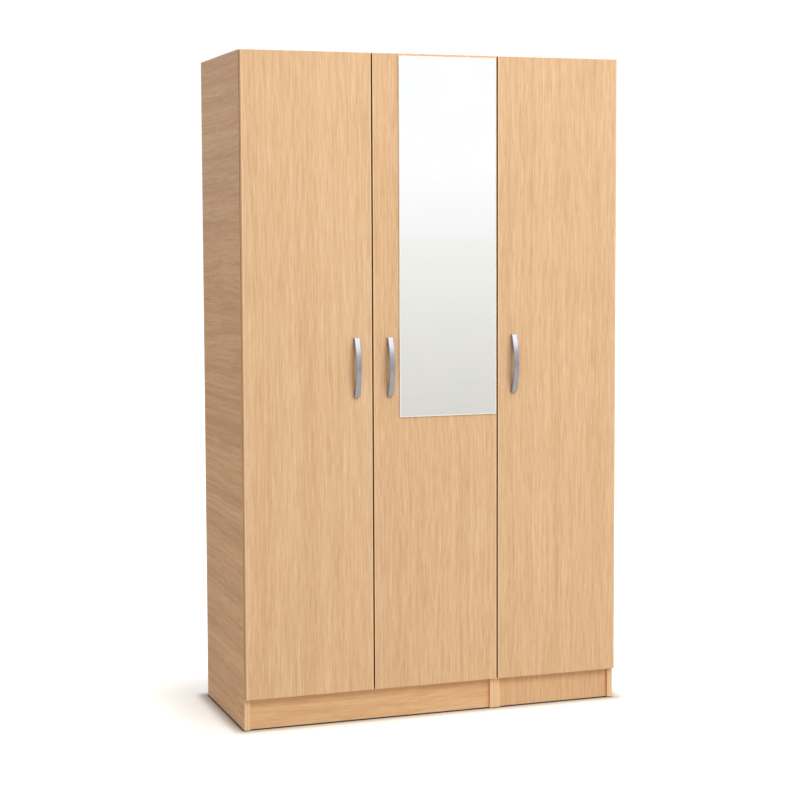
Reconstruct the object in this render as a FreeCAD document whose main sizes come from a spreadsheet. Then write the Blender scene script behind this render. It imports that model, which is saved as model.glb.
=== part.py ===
import FreeCAD, Part
import Sketcher
import math
import os

# A three-door wardrobe: a two-door cabinet and a one-door cabinet bolted side by side.
# The frame: X runs across the front, Y from front to back, Z up from the floor. The origin is under
# the middle of the whole box, handles included, and the doors face -Y. Millimetres throughout.

Vec = FreeCAD.Vector
doc = FreeCAD.newDocument("Wardrobe")

# ---------------------------------------------------------------- driving dimensions

DIMENSIONS = [
    # the carcass
    ("wide_width", 718, "outside width of the two-door cabinet"),
    ("narrow_width", 359, "outside width of the one-door cabinet"),
    ("full_height", 1800, "floor to the top of the side panels"),
    ("carcass_depth", 421, "front edge of the side panels to the outside of the back"),
    ("board", 15, "thickness of every carcass board"),
    ("back_thickness", 3, "thickness of the hardboard backs"),
    ("back_inset", 1.5, "hardboard edge to the outer face beside it"),
    ("plinth_height", 82, "height of the plinths"),
    ("plinth_setback", 8, "front edge of the side panels to the face of a plinth"),
    ("glide_thickness", 3, "height of a nail-on glide under a side panel"),
    ("glide_diameter", 14, "diameter of a glide"),
    ("shelf_setback", 24, "front edge of the side panels to the front of a shelf"),
    ("shelf_rear_gap", 3, "back of a shelf to the hardboard"),
    ("shelf_side_gap", 1, "end of a loose shelf to the panel beside it"),
    # the doors
    ("door_thickness", 15, "thickness of a door"),
    ("door_gap", 2, "back of a door to the front edges of the carcass"),
    ("door_reveal", 2, "edge of a door to the edge of the space that it covers"),
    ("door_top_reveal", 1, "top of a door to the top of the cabinet"),
    ("door_bottom", 88, "bottom of a door above the floor"),
    ("door_edge_round", 0.8, "rounding of the edges of a door's face"),
    ("bumper_diameter", 8, "diameter of a stick-on door bumper"),
    ("bumper_thickness", 1.7, "thickness of a stick-on door bumper"),
    ("bumper_inset", 25, "free edge of a door to the centre of its bumper"),
    # the mirror
    ("mirror_height", 966, "height of the mirror"),
    ("mirror_thickness", 4, "thickness of the mirror"),
    ("mirror_edge_round", 0.6, "polished arris round the mirror's face"),
    ("mirror_hinge_margin", 2.5, "mirror to the hinge edge of its door"),
    ("mirror_free_margin", 72.5, "mirror to the free edge of its door, past the handle"),
    ("mirror_top_margin", 6, "mirror to the top of its door"),
    ("tape_thickness", 0.6, "thickness of the mounting tape"),
    ("tape_width", 20, "width of a strip of mounting tape"),
    ("tape_inset", 25, "end of a strip of tape to the mirror's edge"),
    # the handles
    ("handle_length", 158, "overall length of a bow handle"),
    ("handle_width", 15, "width of a bow handle"),
    ("handle_projection", 27, "door face to the top of the bow"),
    ("handle_thickness", 5, "thickness of the bow at its middle"),
    ("handle_foot", 20, "length of the foot that rests on the door"),
    ("handle_tip", 10, "door face to the front of the bow at its ends"),
    ("handle_round", 1.2, "rounding of the long edges of a handle"),
    ("handle_centres", 128, "distance between a handle's screws"),
    ("handle_inset", 45, "free edge of a door to the middle of its handle"),
    ("handle_centre_height", 965, "middle of a handle above the floor"),
    ("handle_screw_diameter", 4, "diameter of a handle screw"),
    ("handle_screw_bite", 5.5, "length of a handle screw inside the handle"),
    # the concealed hinges
    ("hinge_end_distance", 100, "end of a door to the middle of its nearest hinge"),
    ("cup_diameter", 35, "diameter of a hinge cup"),
    ("cup_depth", 11.5, "depth of a hinge cup below the back of the door"),
    ("cup_wall", 0.8, "thickness of a hinge cup"),
    ("cup_overlap", 10, "edge of a cup to the inner face of the upright that it passes"),
    ("cup_screw_centres", 48, "distance between the two screws of a cup"),
    ("cup_screw_inward", 9, "middle of a cup to the line of its screws"),
    ("cup_pin_inward", -1, "inner face of the upright to the pivot in the cup"),
    ("cup_pin_depth", 6.5, "back of the door to the pivot in the cup"),
    ("arm_pin_inward", 20.4, "inner face of the upright to the pivot in the arm"),
    ("arm_pin_depth", 7.73, "back of the door to the pivot in the arm"),
    ("hinge_pin_diameter", 2.5, "diameter of a hinge pin"),
    ("pin_clearance", 0.05, "radial clearance of a link on its pin"),
    ("link_eye_radius", 2, "outer radius of a link's eye"),
    ("link_thickness", 1.2, "thickness of a link between its eyes"),
    ("link_width", 8, "width of a link along its pins"),
    ("arm_width", 12, "width of a hinge arm"),
    ("arm_cheek", 1.8, "thickness of an arm's cheek beside the link"),
    ("plate_setback", 37, "front edge of the upright to the screws of a hinge plate"),
    ("plate_screw_centres", 32, "distance between the two screws of a hinge plate"),
    ("plate_thickness", 2.4, "thickness of a hinge plate"),
    # hardware
    ("cam_diameter", 15, "diameter of a cam lock"),
    ("cam_height", 12.5, "height of a cam lock"),
    ("cam_inward", 24, "end of a board to the middle of its cam"),
    ("cam_edge_distance", 55, "front or back of a board to its cam"),
    ("cam_bolt_bite", 11, "length of a cam bolt inside the upright"),
    ("dowel_diameter", 8, "diameter of a wooden dowel"),
    ("dowel_length", 30, "length of a wooden dowel"),
    ("dowel_bite", 10, "length of a dowel inside the upright"),
    ("dowel_edge_distance", 95, "front or back of a board to its dowel"),
    ("screw_diameter", 3.5, "shank of a chipboard screw"),
    ("screw_length", 13, "length of a chipboard screw under its head"),
    ("screw_head", 7, "diameter of a chipboard screw's head"),
    ("rail_diameter", 25, "diameter of the hanging rail"),
    ("rail_wall", 1, "wall of the hanging rail"),
    ("rail_drop", 45, "underside of the hat shelf to the middle of the rail"),
    ("rail_fit", 0.2, "radial clearance of the rail in its sockets"),
    ("pin_diameter", 5, "diameter of a shelf pin"),
    ("pin_bite", 9, "length of a shelf pin inside the panel"),
    ("pin_reach", 8, "length of a shelf pin outside the panel"),
    ("pin_edge_distance", 40, "front or back of a shelf to its pins"),
    ("nail_diameter", 1.6, "diameter of a back nail"),
    ("nail_length", 20, "length of a back nail"),
    ("nail_spacing", 260, "largest distance between two back nails"),
    ("wall_hole_diameter", 5.5, "hole for the wall screw in a wall bracket"),
    ("bracket_width", 20, "width of a wall bracket"),
    ("bracket_leg", 32, "length of each leg of a wall bracket"),
    ("bracket_thickness", 2, "thickness of a wall bracket"),
]

sheet = doc.addObject("Spreadsheet::Sheet", "Dims")
for row, (alias, number, meaning) in enumerate(DIMENSIONS, start=1):
    sheet.set(f"A{row}", meaning)
    sheet.set(f"B{row}", str(number))
    sheet.setAlias(f"B{row}", alias)
doc.recompute()


def size(expression):
    """The number, in mm, that an expression of the sheet's values comes to."""
    result = sheet.evalExpression(expression)
    return float(getattr(result, "Value", result))


# Planes and heights that many pieces share, as expressions of the sheet's values.
LEFT = "(-(Dims.wide_width + Dims.narrow_width) / 2)"
JOINT = "((Dims.wide_width - Dims.narrow_width) / 2)"
RIGHT = "((Dims.wide_width + Dims.narrow_width) / 2)"
MIDDLE = f"(({LEFT} + {JOINT}) / 2)"
BACK = "((Dims.handle_projection + Dims.door_thickness + Dims.door_gap + Dims.carcass_depth) / 2)"
BOARD_BACK = f"({BACK} - Dims.back_thickness)"
FRONT = f"({BACK} - Dims.carcass_depth)"
BOARD_DEPTH = "(Dims.carcass_depth - Dims.back_thickness)"
DOOR_BACK = f"({FRONT} - Dims.door_gap)"
DOOR_FACE = f"({DOOR_BACK} - Dims.door_thickness)"
PANEL_LOW = "Dims.glide_thickness"
BOTTOM_LOW = "(Dims.glide_thickness + Dims.plinth_height)"
BOTTOM_HIGH = f"({BOTTOM_LOW} + Dims.board)"
TOP_LOW = "(Dims.full_height - Dims.board)"
DOOR_TOP = "(Dims.full_height - Dims.door_top_reveal)"
DOOR_HEIGHT = f"({DOOR_TOP} - Dims.door_bottom)"
DOOR_WIDTH = "(Dims.wide_width / 2 - 2 * Dims.door_reveal)"
NARROW_DOOR_WIDTH = "(Dims.narrow_width - 2 * Dims.door_reveal)"
HINGE_LOW = "(Dims.door_bottom + Dims.hinge_end_distance)"
HINGES_PER_DOOR = 4
HINGE_STEP = f"(({DOOR_HEIGHT} - 2 * Dims.hinge_end_distance) / {HINGES_PER_DOOR - 1})"
CUP_CENTRE = "(Dims.board - Dims.cup_overlap + Dims.cup_diameter / 2)"
SHELF_DEPTH = f"({BOARD_DEPTH} - Dims.shelf_setback - Dims.shelf_rear_gap)"
SHELF_FRONT = f"({FRONT} + Dims.shelf_setback)"
# Each shelf lies midway between two hinges, so that it passes their arms.
LOWER_SHELF = f"({HINGE_LOW} + 0.5 * {HINGE_STEP} - Dims.board / 2)"
MIDDLE_SHELF = f"({HINGE_LOW} + 1.5 * {HINGE_STEP} - Dims.board / 2)"
UPPER_SHELF = f"({HINGE_LOW} + 2.5 * {HINGE_STEP} - Dims.board / 2)"

hinge_heights = [size(HINGE_LOW) + step * size(HINGE_STEP) for step in range(HINGES_PER_DOOR)]

parts = {}


# ---------------------------------------------------------------- small helpers

def box(name, width, depth, height, x, y, z):
    """A rectangular block whose sizes and lowest corner are bound to the sheet."""
    stock = doc.addObject("Part::Box", name)
    for field, expression in (("Length", width), ("Width", depth), ("Height", height),
                              ("Placement.Base.x", x), ("Placement.Base.y", y),
                              ("Placement.Base.z", z)):
        stock.setExpression(field, expression)
    return stock


def bored(name, blank, pieces):
    """The blank with the seats of the pieces that are let into it."""
    seats = doc.addObject("Part::Compound", f"{name}_seats")
    seats.Links = pieces
    cut = doc.addObject("Part::Cut", name)
    cut.Base = blank
    cut.Tool = seats
    return keep(name, cut)


def keep(name, piece):
    """Files a finished sub-part under its own name."""
    piece.Label = name
    parts[name] = piece
    return piece


def group(name, solids):
    """Identical small pieces, each a separate solid, kept as one sub-part."""
    feature = doc.addObject("Part::Feature", name)
    feature.Shape = Part.Compound(solids)
    return keep(name, feature)


def rod(radius, length, start, direction):
    """A round bar from a start point along a direction."""
    return Part.makeCylinder(radius, length, start, direction)


def block(x_range, y_range, z_range):
    """A plain block between pairs of limits."""
    (x_low, x_high), (y_low, y_high), (z_low, z_high) = x_range, y_range, z_range
    return Part.makeBox(x_high - x_low, y_high - y_low, z_high - z_low, Vec(x_low, y_low, z_low))


def cross_recess(centre, axis, span, width, depth):
    """The cross-shaped driver recess in a screw or cam, cut along an axis from its face."""
    arms = []
    for turn in (0, 90):
        arm = Part.makeBox(span, width, depth, Vec(-span / 2, -width / 2, 0))
        arm.rotate(Vec(0, 0, 0), Vec(0, 0, 1), turn)
        arms.append(arm)
    recess = arms[0].fuse(arms[1])
    recess.Placement = FreeCAD.Placement(centre, FreeCAD.Rotation(Vec(0, 0, 1), axis))
    return recess


def board_screw(seat, axis):
    """A pan-headed chipboard screw: its head rests on the seat and its shank runs along the axis."""
    head_height = 2.0
    tip = 3.0
    shank = size("Dims.screw_diameter") / 2
    straight = size("Dims.screw_length") - tip
    head = rod(size("Dims.screw_head") / 2, head_height, seat - axis * head_height, axis)
    rim = [edge for edge in head.Edges if abs((edge.CenterOfMass - seat).dot(axis) + head_height) < 0.01]
    head = head.makeFillet(0.9, rim)
    body = rod(shank, straight, seat, axis)
    point = Part.makeCone(shank, 0.4, tip, seat + axis * straight, axis)
    screw = head.fuse([body, point])
    return screw.cut(cross_recess(seat - axis * head_height, axis, 3.6, 0.8, 1.2)).removeSplitter()


def spaced(low, high, largest):
    """Even positions from low to high, no further apart than the largest spacing."""
    steps = max(1, math.ceil((high - low) / largest))
    return [low + (high - low) * step / steps for step in range(steps + 1)]


# ---------------------------------------------------------------- the concealed hinges

# One hinge is drawn for a door hung on a left upright, in its own frame: U from the outer face of the
# upright into the cabinet, V from the door's face to the back, W up from the middle of the hinge.
BOARD = size("Dims.board")
DOOR_T = size("Dims.door_thickness")
EDGE_V = DOOR_T + size("Dims.door_gap")
CUP_U = size(CUP_CENTRE)
CUP_R = size("Dims.cup_diameter") / 2
CUP_PIN = Vec(BOARD + size("Dims.cup_pin_inward"), DOOR_T - size("Dims.cup_pin_depth"), 0)
ARM_PIN = Vec(BOARD + size("Dims.arm_pin_inward"), DOOR_T - size("Dims.arm_pin_depth"), 0)
PIN_R = size("Dims.hinge_pin_diameter") / 2
UP = Vec(0, 0, 1)
INWARD = Vec(0, 1, 0)
ACROSS = Vec(1, 0, 0)


def pin_at(axis_point, half_length, radius):
    """An upright pin or bore centred on a pivot."""
    return rod(radius, 2 * half_length, axis_point - UP * half_length, UP)


def hinge_cup():
    """The pressed cup in the door, its flange on the back of the door and its two screw ears."""
    rim, ear_radius = 0.5, 6
    wall = size("Dims.cup_wall")
    depth = size("Dims.cup_depth")
    floor = Vec(CUP_U, DOOR_T - depth, 0)
    ear_u = CUP_U + size("Dims.cup_screw_inward")
    ear_w = size("Dims.cup_screw_centres") / 2
    ear_seats = [Vec(ear_u, DOOR_T, side * ear_w) for side in (-1, 1)]
    shell = rod(CUP_R, depth, floor, INWARD)
    disc = rod(CUP_R + rim, wall, Vec(CUP_U, DOOR_T, 0), INWARD)
    ears = [block((ear_u - ear_radius, ear_u + ear_radius), (DOOR_T, DOOR_T + wall), (-ear_w, ear_w))]
    ears += [rod(ear_radius, wall, seat, INWARD) for seat in ear_seats]
    hollow = rod(CUP_R - wall, depth, floor + INWARD * wall, INWARD)
    ear_holes = [rod(size("Dims.screw_diameter") / 2, wall, seat, INWARD) for seat in ear_seats]
    cup = shell.fuse([disc] + ears).removeSplitter().cut(hollow)
    return cup.cut(ear_holes + [pin_at(CUP_PIN, CUP_R, PIN_R)])


def cup_pin():
    """The pin across the cup, its ends set into the cup's wall."""
    farthest = CUP_U - CUP_PIN.x + PIN_R
    half_length = math.sqrt((CUP_R - size("Dims.cup_wall") / 2) ** 2 - farthest ** 2)
    return pin_at(CUP_PIN, half_length, PIN_R)


def cup_screws():
    """The two screws through the ears of the cup."""
    ear_u = CUP_U + size("Dims.cup_screw_inward")
    seat_v = DOOR_T + size("Dims.cup_wall")
    ear_w = size("Dims.cup_screw_centres") / 2
    return [board_screw(Vec(ear_u, seat_v, side * ear_w), Vec(0, -1, 0)) for side in (-1, 1)]


def hinge_link():
    """The link between the pin in the arm and the pin in the cup: two eyes and a thin web."""
    radius = size("Dims.link_eye_radius")
    half = size("Dims.link_width") / 2
    span = CUP_PIN - ARM_PIN
    web_half = size("Dims.link_thickness") / 2
    web = Part.makeBox(span.Length, 2 * web_half, 2 * half, Vec(0, -web_half, -half))
    turn = math.degrees(math.atan2(span.y, span.x))
    web.rotate(Vec(0, 0, 0), UP, turn)
    web.translate(ARM_PIN)
    eyes = [pin_at(pivot, half, radius) for pivot in (ARM_PIN, CUP_PIN)]
    bore = PIN_R + size("Dims.pin_clearance")
    bores = [pin_at(pivot, half + 1, bore) for pivot in (ARM_PIN, CUP_PIN)]
    return web.fuse(eyes).removeSplitter().cut(bores)


def hinge_arm():
    """The arm: a nose that reaches into the cup, a cranked neck and a flat body on the plate."""
    tail, arm_height, play, shoulder = 34, 9, 0.2, 10
    neck_low, neck_high, crank_low, crank_high = -4, 2, 7, 17
    half = size("Dims.arm_width") / 2
    foot_u = BOARD + size("Dims.plate_thickness")
    back_v = EDGE_V + size("Dims.plate_setback") + tail
    nose_r = size("Dims.link_eye_radius") + play
    pivot = ARM_PIN
    outline = [
        Vec(pivot.x - nose_r, pivot.y, 0),
        Vec(pivot.x - nose_r, EDGE_V + neck_low, 0),
        Vec(BOARD + shoulder, EDGE_V + crank_low, 0),
        Vec(foot_u, EDGE_V + crank_high - 2, 0),
        Vec(foot_u, back_v, 0),
        Vec(foot_u + arm_height, back_v, 0),
        Vec(foot_u + arm_height, EDGE_V + crank_high, 0),
        Vec(pivot.x + nose_r, EDGE_V + neck_high, 0),
        Vec(pivot.x + nose_r, pivot.y, 0),
    ]
    face = Part.Face(Part.makePolygon(outline + outline[:1]))
    arm = face.extrude(UP * (2 * half))
    arm.translate(UP * -half)
    arm = arm.fuse(pin_at(pivot, half, nose_r)).removeSplitter()
    slot_depth, groove_floor, groove_start, groove_end = 1.6, 6.5, 22, 6
    slot = half - size("Dims.arm_cheek")
    link_slot = block((0, 2 * pivot.x), (0, pivot.y + nose_r + slot_depth), (-slot, slot))
    groove = block((foot_u + groove_floor, foot_u + arm_height),
                   (EDGE_V + groove_start, back_v - groove_end), (-slot, slot))
    return arm.cut([link_slot, groove, pin_at(pivot, half, PIN_R), arm_screw()])


def arm_screw():
    """The screw that clamps the arm to its plate."""
    head_radius, head_height, shank_radius, length, behind_plate_screws = 3.8, 2.2, 2.5, 6.5, 16
    plate_u = BOARD + size("Dims.plate_thickness")
    foot = Vec(plate_u, EDGE_V + size("Dims.plate_setback") + behind_plate_screws, 0)
    head = rod(head_radius, head_height, foot + ACROSS * length, ACROSS)
    shank = rod(shank_radius, length, foot, ACROSS)
    recess = cross_recess(foot + ACROSS * (length + head_height), ACROSS * -1, 4.4, 0.9, 1.4)
    return head.fuse(shank).cut(recess).removeSplitter()


def hinge_plate():
    """The cruciform plate on the inner face of the upright."""
    spine_half, spine_front, spine_back, wing_radius = 7, 20, 28, 6
    thickness = size("Dims.plate_thickness")
    u_range = (BOARD, BOARD + thickness)
    screw_v = EDGE_V + size("Dims.plate_setback")
    half = size("Dims.plate_screw_centres") / 2
    seats = [Vec(BOARD, screw_v, side * half) for side in (-1, 1)]
    spine = block(u_range, (screw_v - spine_front, screw_v + spine_back), (-spine_half, spine_half))
    wings = block(u_range, (screw_v - wing_radius, screw_v + wing_radius), (-half, half))
    ends = [rod(wing_radius, thickness, seat, ACROSS) for seat in seats]
    holes = [rod(size("Dims.screw_diameter") / 2, thickness, seat, ACROSS) for seat in seats]
    return spine.fuse([wings] + ends).removeSplitter().cut(holes)


def plate_screws():
    """The two screws of a plate, driven into the upright."""
    seat_u = BOARD + size("Dims.plate_thickness")
    screw_v = EDGE_V + size("Dims.plate_setback")
    half = size("Dims.plate_screw_centres") / 2
    return [board_screw(Vec(seat_u, screw_v, side * half), ACROSS * -1) for side in (-1, 1)]


# Each door: its name, the outer face of the upright that carries it, and the way its hinges face.
DOORS = [("left", LEFT, 1), ("middle", JOINT, -1), ("right", RIGHT, -1)]


def at_hinges(drawn, upright, facing):
    """Copies of a hinge's solids at each hinge of a door, mirrored for a right-hand upright."""
    copies = []
    for height in hinge_heights:
        for solid in drawn:
            copy = solid.copy() if facing > 0 else solid.mirror(Vec(0, 0, 0), ACROSS)
            copy.translate(Vec(size(upright), size(DOOR_FACE), height))
            copies.append(copy)
    return copies


def at_every_door(drawn):
    """Copies of a hinge's solids at the hinges of all three doors."""
    return [copy for _, upright, facing in DOORS for copy in at_hinges(drawn, upright, facing)]


group("hinge_plates", at_every_door([hinge_plate()]))
group("hinge_arms", at_every_door([hinge_arm()]))
group("hinge_arm_screws", at_every_door([arm_screw()]))
group("hinge_arm_pins", at_every_door([pin_at(ARM_PIN, size("Dims.arm_width") / 2, PIN_R)]))
for door_name, upright, facing in DOORS:
    group(f"{door_name}_hinge_links", at_hinges([hinge_link()], upright, facing))
    group(f"{door_name}_hinge_cups", at_hinges([hinge_cup()], upright, facing))
    group(f"{door_name}_cup_pins", at_hinges([cup_pin()], upright, facing))
    group(f"{door_name}_cup_screws", at_hinges(cup_screws(), upright, facing))


# ---------------------------------------------------------------- cams, bolts and dowels

# The fixed boards, each between the inner faces of two uprights: left face, right face, underside,
# front and back.
WIDE_INNER = (f"({LEFT} + Dims.board)", f"({JOINT} - Dims.board)")
NARROW_INNER = (f"({JOINT} + Dims.board)", f"({RIGHT} - Dims.board)")
FIXED_BOARDS = [
    ("wide_top_panel", WIDE_INNER, TOP_LOW, FRONT, BOARD_DEPTH),
    ("wide_bottom_panel", WIDE_INNER, BOTTOM_LOW, FRONT, BOARD_DEPTH),
    ("hat_shelf", WIDE_INNER, UPPER_SHELF, SHELF_FRONT, SHELF_DEPTH),
    ("narrow_top_panel", NARROW_INNER, TOP_LOW, FRONT, BOARD_DEPTH),
    ("narrow_bottom_panel", NARROW_INNER, BOTTOM_LOW, FRONT, BOARD_DEPTH),
    ("narrow_fixed_shelf", NARROW_INNER, MIDDLE_SHELF, SHELF_FRONT, SHELF_DEPTH),
]


def board_corners():
    """Each corner of each fixed board: end face, way into the board, underside, edge, way inward."""
    for _, (left_face, right_face), underside, front, depth in FIXED_BOARDS:
        edges = ((size(front), 1), (size(front) + size(depth), -1))
        for end, into in ((size(left_face), 1), (size(right_face), -1)):
            for edge, inward in edges:
                yield end, into, size(underside), edge, inward


def cam_bolt(end, into, middle_z, y):
    """A cam bolt: a thread in the upright, a slim shank in the board and a head inside the cam."""
    thread_radius, shank_radius, head_radius, head_length, head_start = 3, 2.5, 3.4, 3, 2
    axis = ACROSS * into
    face = Vec(end, y, middle_z)
    bite = size("Dims.cam_bolt_bite")
    reach = size("Dims.cam_inward") - head_start
    thread = rod(thread_radius, bite, face - axis * bite, axis)
    shank = rod(shank_radius, reach, face, axis)
    head = rod(head_radius, head_length, face + axis * reach, axis)
    return thread.fuse([shank, head]).removeSplitter()


def cam_lock(seat, end, into, underside, y, bolt):
    """A cam lock that fills its seat, with its driver recess and the bolt's slot."""
    centre = Vec(end + into * size("Dims.cam_inward"), y, underside)
    return seat.cut([cross_recess(centre, UP, 8, 1.4, 2.5), bolt])


def dowel(centre_end, into, y, z):
    """A dowel across the joint between an upright and the end of a board."""
    axis = ACROSS * into
    length = size("Dims.dowel_length")
    start = Vec(centre_end, y, z) - axis * size("Dims.dowel_bite")
    body = rod(size("Dims.dowel_diameter") / 2, length, start, axis)
    rims = [edge for edge in body.Edges if edge.Closed]
    return body.makeChamfer(1, rims)


def cam_seat(end, into, underside, y):
    """The plain round seat of a cam lock."""
    centre = Vec(end + into * size("Dims.cam_inward"), y, underside)
    return rod(size("Dims.cam_diameter") / 2, size("Dims.cam_height"), centre, UP)


cams, cam_seats, bolts, dowels = [], [], [], []
for end, into, underside, edge, inward in board_corners():
    middle_z = underside + BOARD / 2
    cam_y = edge + inward * size("Dims.cam_edge_distance")
    bolts.append(cam_bolt(end, into, middle_z, cam_y))
    cam_seats.append(cam_seat(end, into, underside, cam_y))
    cams.append(cam_lock(cam_seats[-1], end, into, underside, cam_y, bolts[-1]))
    dowels.append(dowel(end, into, edge + inward * size("Dims.dowel_edge_distance"), middle_z))

PLINTH_FACE = f"({FRONT} + Dims.plinth_setback)"
PLINTH_DOWEL_SHARE = 0.4
for left_face, right_face in (WIDE_INNER, NARROW_INNER):
    for end, into in ((left_face, 1), (right_face, -1)):
        middle_y = size(PLINTH_FACE) + BOARD / 2
        middle_z = size(PANEL_LOW) + size("Dims.plinth_height") * PLINTH_DOWEL_SHARE
        dowels.append(dowel(size(end), into, middle_y, middle_z))

group("cam_bolts", bolts)
group("cam_locks", cams)
cam_seat_group = doc.addObject("Part::Feature", "cam_seats")
cam_seat_group.Shape = Part.Compound(cam_seats)
group("wood_dowels", dowels)


# ---------------------------------------------------------------- bolts that join the two cabinets

def joining_pair(y, z):
    """A threaded sleeve from the wide cabinet's side and the bolt that screws into it."""
    head_radius, head_height, barrel_radius, thread_radius, thread_length = 7, 1.6, 3.5, 2, 20
    start = Vec(size(JOINT) - BOARD, y, z)
    finish = Vec(size(JOINT) + BOARD, y, z)
    sleeve_face = start - ACROSS * head_height
    bolt_face = finish + ACROSS * head_height
    thread = rod(thread_radius, thread_length, finish - ACROSS * thread_length, ACROSS)
    bolt = thread.fuse(rod(head_radius, head_height, finish, ACROSS)).removeSplitter()
    barrel = rod(barrel_radius, 2 * BOARD - 2, start, ACROSS)
    sleeve = barrel.fuse(rod(head_radius, head_height, sleeve_face, ACROSS)).removeSplitter()
    return (sleeve.cut([cross_recess(sleeve_face, ACROSS, 5, 1, 1), thread]),
            bolt.cut(cross_recess(bolt_face, ACROSS * -1, 5, 1, 1)))


sleeves, joining_bolts = [], []
JOINING_DROP = 70
JOINING_EDGE = 40
for shelf in (LOWER_SHELF, UPPER_SHELF):
    for y in (size(FRONT) + JOINING_EDGE, size(BOARD_BACK) - JOINING_EDGE):
        sleeve, bolt = joining_pair(y, size(shelf) - JOINING_DROP)
        sleeves.append(sleeve)
        joining_bolts.append(bolt)
group("joining_sleeves", sleeves)
group("joining_bolts", joining_bolts)


# ---------------------------------------------------------------- rail, pins, glides and bumpers

RAIL_FROM_FRONT = f"({SHELF_FRONT} + {SHELF_DEPTH} / 2)"
RAIL_HEIGHT = f"({UPPER_SHELF} - Dims.rail_drop)"
RAIL_Y = size(RAIL_FROM_FRONT)
RAIL_Z = size(RAIL_HEIGHT)
RAIL_END_GAP = 0.5
SOCKET_PLATE = 3.0
SOCKET_DEPTH = 14.0
SOCKET_WALL = 2.4
SOCKET_EAR = 8.0


def rail_socket(face, into):
    """A socket for one end of the rail: a base plate with two screw ears and a ring."""
    axis = ACROSS * into
    centre = Vec(face, RAIL_Y, RAIL_Z)
    bore = size("Dims.rail_diameter") / 2 + size("Dims.rail_fit")
    ring = rod(bore + SOCKET_WALL, SOCKET_DEPTH, centre, axis)
    reach = bore + SOCKET_WALL + 0.75 * SOCKET_EAR
    x_range = sorted((face, face + into * SOCKET_PLATE))
    base = block(x_range, (RAIL_Y - reach, RAIL_Y + reach), (RAIL_Z - SOCKET_EAR, RAIL_Z + SOCKET_EAR))
    seats = [centre + INWARD * side * reach for side in (-1, 1)]
    ends = [rod(SOCKET_EAR, SOCKET_PLATE, seat, axis) for seat in seats]
    hollow = rod(bore, SOCKET_DEPTH, centre + axis * SOCKET_PLATE, axis)
    holes = [rod(size("Dims.screw_diameter") / 2, SOCKET_PLATE, seat, axis) for seat in seats]
    screws = [board_screw(seat + axis * SOCKET_PLATE, axis * -1) for seat in seats]
    return ring.fuse([base] + ends).removeSplitter().cut([hollow] + holes), screws


board_screws = []
sockets = []
for face, into in ((size(WIDE_INNER[0]), 1), (size(WIDE_INNER[1]), -1)):
    socket, screws = rail_socket(face, into)
    sockets.append(socket)
    board_screws += screws
group("rail_sockets", sockets)

rail_outer = doc.addObject("Part::Cylinder", "rail_outer")
rail_inner = doc.addObject("Part::Cylinder", "rail_inner")
RAIL_MARGIN = SOCKET_PLATE + RAIL_END_GAP
for tube, radius in ((rail_outer, "Dims.rail_diameter / 2"),
                     (rail_inner, "Dims.rail_diameter / 2 - Dims.rail_wall")):
    tube.setExpression("Radius", radius)
    tube.setExpression("Height", f"{WIDE_INNER[1]} - {WIDE_INNER[0]} - {2 * RAIL_MARGIN}")
    tube.Placement.Rotation = FreeCAD.Rotation(UP, ACROSS)
    tube.setExpression("Placement.Base.x", f"{WIDE_INNER[0]} + {RAIL_MARGIN}")
    tube.setExpression("Placement.Base.y", RAIL_FROM_FRONT)
    tube.setExpression("Placement.Base.z", RAIL_HEIGHT)
rail = doc.addObject("Part::Cut", "hanging_rail")
rail.Base = rail_outer
rail.Tool = rail_inner
keep("hanging_rail", rail)


def shelf_pin(face, into, y, underside):
    """A shelf pin: a barrel in the panel, a collar on its face and a flat-topped peg."""
    collar_thickness, collar_rim, peg_half = 0.8, 1.5, 3
    radius = size("Dims.pin_diameter") / 2
    bite = size("Dims.pin_bite")
    reach = size("Dims.pin_reach")
    axis = ACROSS * into
    centre = Vec(face, y, underside - radius - collar_thickness)
    barrel = rod(radius, bite, centre - axis * bite, axis)
    collar = rod(radius + collar_rim, collar_thickness, centre, axis)
    peg = block(sorted((face, face + into * reach)), (y - peg_half, y + peg_half),
                (centre.z - radius, underside))
    above = block((face - bite, face + bite), (y - bite, y + bite), (underside, underside + bite))
    return barrel.fuse([collar, peg]).removeSplitter().cut(above)


pins = []
for shelf in (LOWER_SHELF, UPPER_SHELF):
    for face, into in ((size(NARROW_INNER[0]), 1), (size(NARROW_INNER[1]), -1)):
        for edge, inward in ((size(SHELF_FRONT), 1), (size(SHELF_FRONT) + size(SHELF_DEPTH), -1)):
            y = edge + inward * size("Dims.pin_edge_distance")
            pins.append(shelf_pin(face, into, y, size(shelf)))
group("shelf_pins", pins)


def floor_glide(x, y):
    """A nail-on glide: a domed foot and its nail."""
    rounding, nail_radius, nail_length = 1, 1, 14
    height = size("Dims.glide_thickness")
    foot = rod(size("Dims.glide_diameter") / 2, height, Vec(x, y, 0), UP)
    foot = foot.makeFillet(rounding, [edge for edge in foot.Edges if abs(edge.CenterOfMass.z) < 0.01])
    nail = rod(nail_radius, nail_length, Vec(x, y, height - rounding), UP)
    return foot.fuse(nail).removeSplitter()


UPRIGHTS = [LEFT, f"({JOINT} - Dims.board)", JOINT, f"({RIGHT} - Dims.board)"]
GLIDE_EDGE = 30
glides = [floor_glide(size(upright) + BOARD / 2, y) for upright in UPRIGHTS
          for y in (size(FRONT) + GLIDE_EDGE, size(BOARD_BACK) - GLIDE_EDGE)]
group("floor_glides", glides)


def free_edge(door):
    """The x of a door's free edge and the way from it into the door."""
    name, upright, facing = door
    width = NARROW_DOOR_WIDTH if name == "right" else DOOR_WIDTH
    return size(upright) + facing * (size("Dims.door_reveal") + size(width)), -facing


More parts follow.
